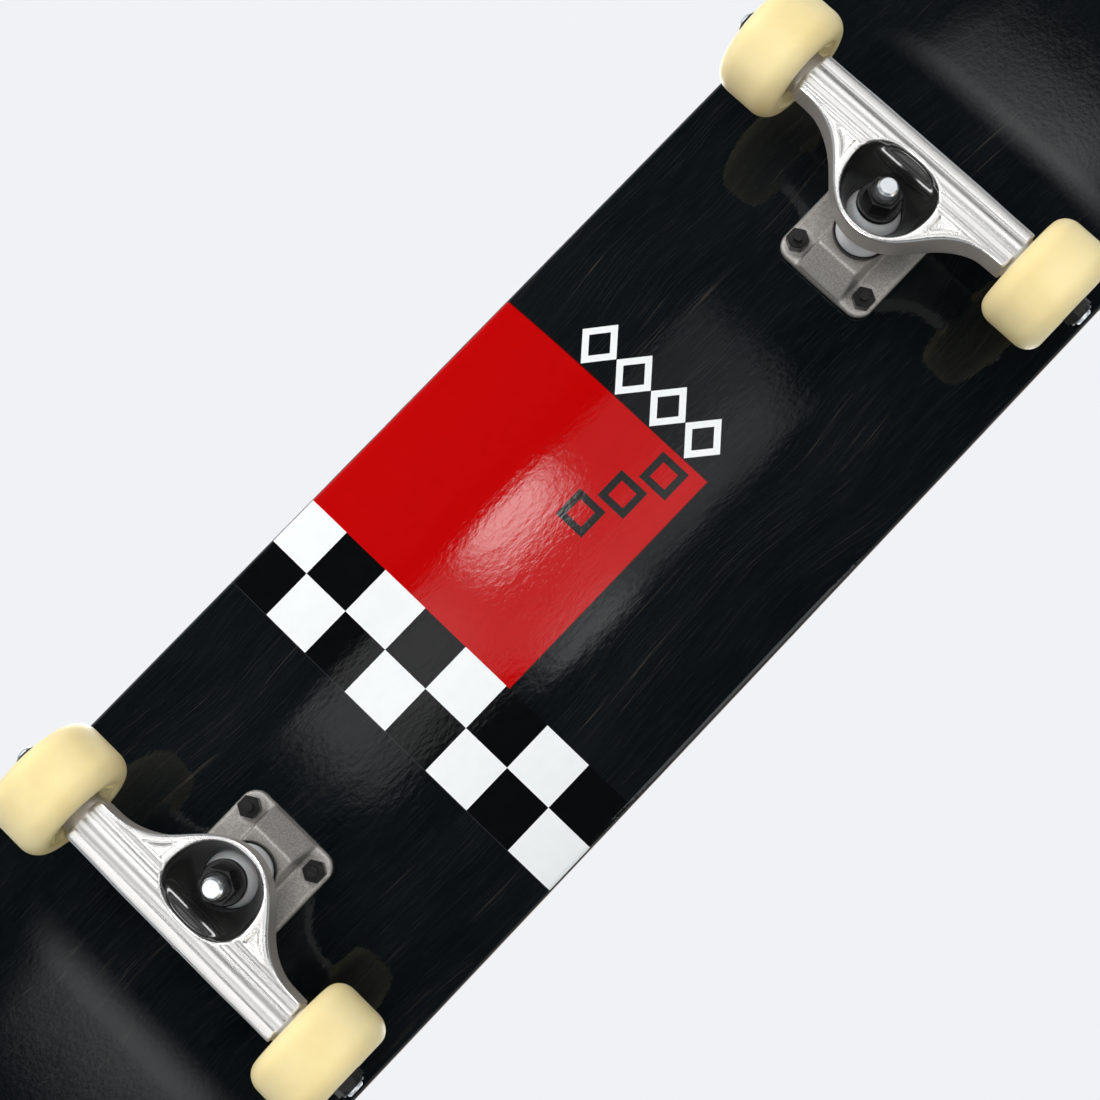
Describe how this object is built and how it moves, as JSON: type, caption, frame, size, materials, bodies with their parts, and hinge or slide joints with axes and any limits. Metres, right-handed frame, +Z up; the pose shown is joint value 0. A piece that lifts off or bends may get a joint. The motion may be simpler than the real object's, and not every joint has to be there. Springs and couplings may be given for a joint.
{
  "type": "skateboard",
  "caption": "Street skateboard with a concave double-kick wooden deck, sprung cast trucks and urethane wheels running on ball bearings.",
  "frame": {"origin": "centre of the bounding box on the ground under the wheels", "axes": "+X towards the nose, +Y across the board, +Z up from the ground through the deck"},
  "size_m": [0.8128, 0.2064, 0.1457],
  "materials": {
    "deck_wood": "black-stained veneer under gloss lacquer, with a red panel and a checkered band printed on the underside",
    "grip": "coarse black grit on adhesive tape",
    "black_steel": "black oxide",
    "zinc_steel": "bright zinc plate",
    "bearing_steel": "polished steel",
    "cast_aluminium": "satin as cast",
    "polished_aluminium": "polished road face, black bowl",
    "urethane": "satin cream urethane",
    "white_urethane": "satin white urethane",
    "black_plastic": "moulded"
  },
  "bodies": {
    "board": {"deck": "deck_wood", "grip_tape": "grip", "front_mounting_bolts": "black_steel", "front_mounting_nuts": "black_steel", "front_baseplate": "cast_aluminium", "front_kingpin": "zinc_steel", "front_kingpin_nut": "black_steel", "front_bottom_cup": "black_steel", "front_bottom_bushing": "white_urethane", "front_top_bushing": "white_urethane", "front_top_cup": "black_steel", "front_pivot_cup": "black_plastic", "rear_mounting_bolts": "black_steel", "rear_mounting_nuts": "black_steel", "rear_baseplate": "cast_aluminium", "rear_kingpin": "zinc_steel", "rear_kingpin_nut": "black_steel", "rear_bottom_cup": "black_steel", "rear_bottom_bushing": "white_urethane", "rear_top_bushing": "white_urethane", "rear_top_cup": "black_steel", "rear_pivot_cup": "black_plastic"},
    "front_truck": {"front_hanger": "polished_aluminium", "front_axle": "zinc_steel", "front_speed_washers": "zinc_steel", "front_spacers": "zinc_steel", "front_inner_races": "bearing_steel", "front_axle_nuts": "black_steel"},
    "rear_truck": {"rear_hanger": "polished_aluminium", "rear_axle": "zinc_steel", "rear_speed_washers": "zinc_steel", "rear_spacers": "zinc_steel", "rear_inner_races": "bearing_steel", "rear_axle_nuts": "black_steel"},
    "front_left_roller": {"front_left_wheel": "urethane", "front_left_outer_races": "bearing_steel", "front_left_shields": "bearing_steel"},
    "front_left_ball_set": {"front_left_balls": "bearing_steel", "front_left_cages": "black_plastic"},
    "front_right_roller": {"front_right_wheel": "urethane", "front_right_outer_races": "bearing_steel", "front_right_shields": "bearing_steel"},
    "front_right_ball_set": {"front_right_balls": "bearing_steel", "front_right_cages": "black_plastic"},
    "rear_left_roller": {"rear_left_wheel": "urethane", "rear_left_outer_races": "bearing_steel", "rear_left_shields": "bearing_steel"},
    "rear_left_ball_set": {"rear_left_balls": "bearing_steel", "rear_left_cages": "black_plastic"},
    "rear_right_roller": {"rear_right_wheel": "urethane", "rear_right_outer_races": "bearing_steel", "rear_right_shields": "bearing_steel"},
    "rear_right_ball_set": {"rear_right_balls": "bearing_steel", "rear_right_cages": "black_plastic"}
  },
  "joints": [
    {"name": "front_steer", "type": "hinge", "parent": "board", "child": "front_truck", "pos_m": [0.1966, 0, 0.04584], "axis": [-0.8521, 0, -0.5234], "range_deg": [-12, 12], "stiffness_Nm_per_rad": 40, "deforming": ["front_bottom_bushing", "front_top_bushing"]},
    {"name": "rear_steer", "type": "hinge", "parent": "board", "child": "rear_truck", "pos_m": [-0.2093, 0, 0.04584], "axis": [0.8521, 0, -0.5234], "range_deg": [-12, 12], "stiffness_Nm_per_rad": 40, "deforming": ["rear_bottom_bushing", "rear_top_bushing"]},
    {"name": "front_left_spin", "type": "hinge", "parent": "front_truck", "child": "front_left_roller", "pos_m": [0.2196, 0.0784, 0.028], "axis": [0, 1, 0], "continuous": true},
    {"name": "front_left_ball_roll", "type": "hinge", "parent": "front_truck", "child": "front_left_ball_set", "pos_m": [0.2196, 0.0784, 0.028], "axis": [0, 1, 0], "continuous": true},
    {"name": "front_right_spin", "type": "hinge", "parent": "front_truck", "child": "front_right_roller", "pos_m": [0.2196, -0.0784, 0.028], "axis": [0, 1, 0], "continuous": true},
    {"name": "front_right_ball_roll", "type": "hinge", "parent": "front_truck", "child": "front_right_ball_set", "pos_m": [0.2196, -0.0784, 0.028], "axis": [0, 1, 0], "continuous": true},
    {"name": "rear_left_spin", "type": "hinge", "parent": "rear_truck", "child": "rear_left_roller", "pos_m": [-0.2323, 0.0784, 0.028], "axis": [0, 1, 0], "continuous": true},
    {"name": "rear_left_ball_roll", "type": "hinge", "parent": "rear_truck", "child": "rear_left_ball_set", "pos_m": [-0.2323, 0.0784, 0.028], "axis": [0, 1, 0], "continuous": true},
    {"name": "rear_right_spin", "type": "hinge", "parent": "rear_truck", "child": "rear_right_roller", "pos_m": [-0.2323, -0.0784, 0.028], "axis": [0, 1, 0], "continuous": true},
    {"name": "rear_right_ball_roll", "type": "hinge", "parent": "rear_truck", "child": "rear_right_ball_set", "pos_m": [-0.2323, -0.0784, 0.028], "axis": [0, 1, 0], "continuous": true}
  ],
  "couplings": [
    {"joint": "front_left_ball_roll", "follows": "front_left_spin", "ratio": 0.6323},
    {"joint": "front_right_ball_roll", "follows": "front_right_spin", "ratio": 0.6323},
    {"joint": "rear_left_ball_roll", "follows": "rear_left_spin", "ratio": 0.6323},
    {"joint": "rear_right_ball_roll", "follows": "rear_right_spin", "ratio": 0.6323}
  ]
}
